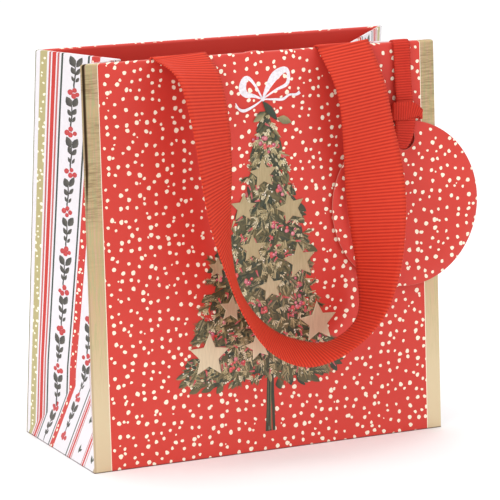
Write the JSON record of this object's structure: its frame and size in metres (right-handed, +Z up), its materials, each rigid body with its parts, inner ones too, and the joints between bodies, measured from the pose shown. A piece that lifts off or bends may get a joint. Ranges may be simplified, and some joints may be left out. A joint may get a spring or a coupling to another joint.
{
  "type": "gift bag",
  "caption": "Small square paper gift bag with folded side gussets, a stiffened rim, two wide ribbon handles and a round tag hitched on a narrow ribbon.",
  "frame": {"origin": "middle of the base, on the surface that the bag stands on", "axes": "+Z up; +X along the front panel, towards the side with the tag; the front panel faces -Y"},
  "size_m": [0.184, 0.0975, 0.1695],
  "materials": {
    "printed_red_card": "satin, printed",
    "striped_card": "satin, printed stripes",
    "white_card": "matt, unprinted",
    "stiff_board": "matt",
    "handle_ribbon": "ribbed grosgrain",
    "tag_ribbon": "ribbed grosgrain",
    "tag_card": "satin, printed"
  },
  "bodies": {
    "root": {"bottom_outer_flap": "printed_red_card", "bottom_inner_flap": "printed_red_card", "bottom_left_flap": "white_card", "bottom_right_flap": "white_card", "base_board": "stiff_board", "back_panel": "printed_red_card", "back_rim_board": "stiff_board", "back_hem": "printed_red_card", "glue_seam": "white_card", "left_gusset_rear": "striped_card", "right_gusset_rear": "striped_card", "left_gusset_rear_hem": "printed_red_card", "right_gusset_rear_hem": "printed_red_card", "left_corner_rear": "striped_card", "right_corner_rear": "striped_card", "left_base_triangle": "striped_card", "right_base_triangle": "striped_card", "back_ribbon_left_end": "handle_ribbon", "back_ribbon_right_end": "handle_ribbon"},
    "front": {"front_panel": "printed_red_card", "front_rim_board": "stiff_board", "front_hem": "printed_red_card", "left_gusset_front": "striped_card", "right_gusset_front": "striped_card", "left_gusset_front_hem": "printed_red_card", "right_gusset_front_hem": "printed_red_card", "left_corner_front": "striped_card", "right_corner_front": "striped_card", "front_ribbon_left_end": "handle_ribbon", "front_ribbon_right_end": "handle_ribbon", "tag_ribbon_end": "tag_ribbon"},
    "front_handle": {"front_handle": "handle_ribbon"},
    "back_handle": {"back_handle": "handle_ribbon"},
    "tag_strap": {"tag_strap": "tag_ribbon", "tag_hitch": "tag_ribbon"},
    "tag": {"tag_card": "tag_card"}
  },
  "joints": [
    {"name": "mouth", "type": "hinge", "parent": "root", "child": "front", "pos_m": [0, -0.0355, 0], "axis": [1, 0, 0], "range_deg": [-8, 6], "deforming": ["left_gusset_rear", "right_gusset_rear", "left_gusset_rear_hem", "right_gusset_rear_hem", "left_corner_rear", "right_corner_rear", "left_base_triangle", "right_base_triangle", "left_gusset_front", "right_gusset_front", "left_gusset_front_hem", "right_gusset_front_hem", "left_corner_front", "right_corner_front"]},
    {"name": "front_handle_swing", "type": "hinge", "parent": "front", "child": "front_handle", "pos_m": [0, -0.0225, 0.1689], "axis": [-1, 0, 0], "range_deg": [0, 170], "deforming": ["front_handle"]},
    {"name": "back_handle_lift", "type": "hinge", "parent": "root", "child": "back_handle", "pos_m": [0, 0.01995, 0.154], "axis": [-1, 0, 0], "range_deg": [0, 168], "deforming": ["back_handle"]},
    {"name": "tag_lift", "type": "hinge", "parent": "front", "child": "tag_strap", "pos_m": [0, -0.0225, 0.1689], "axis": [-1, 0, 0], "range_deg": [0, 170], "deforming": ["tag_strap", "tag_hitch"]},
    {"name": "tag_swing", "type": "hinge", "parent": "tag_strap", "child": "tag", "pos_m": [0.066, -0.02716, 0.12724], "axis": [0, -0.997, 0.0772], "range_deg": [-20, 20]}
  ]
}
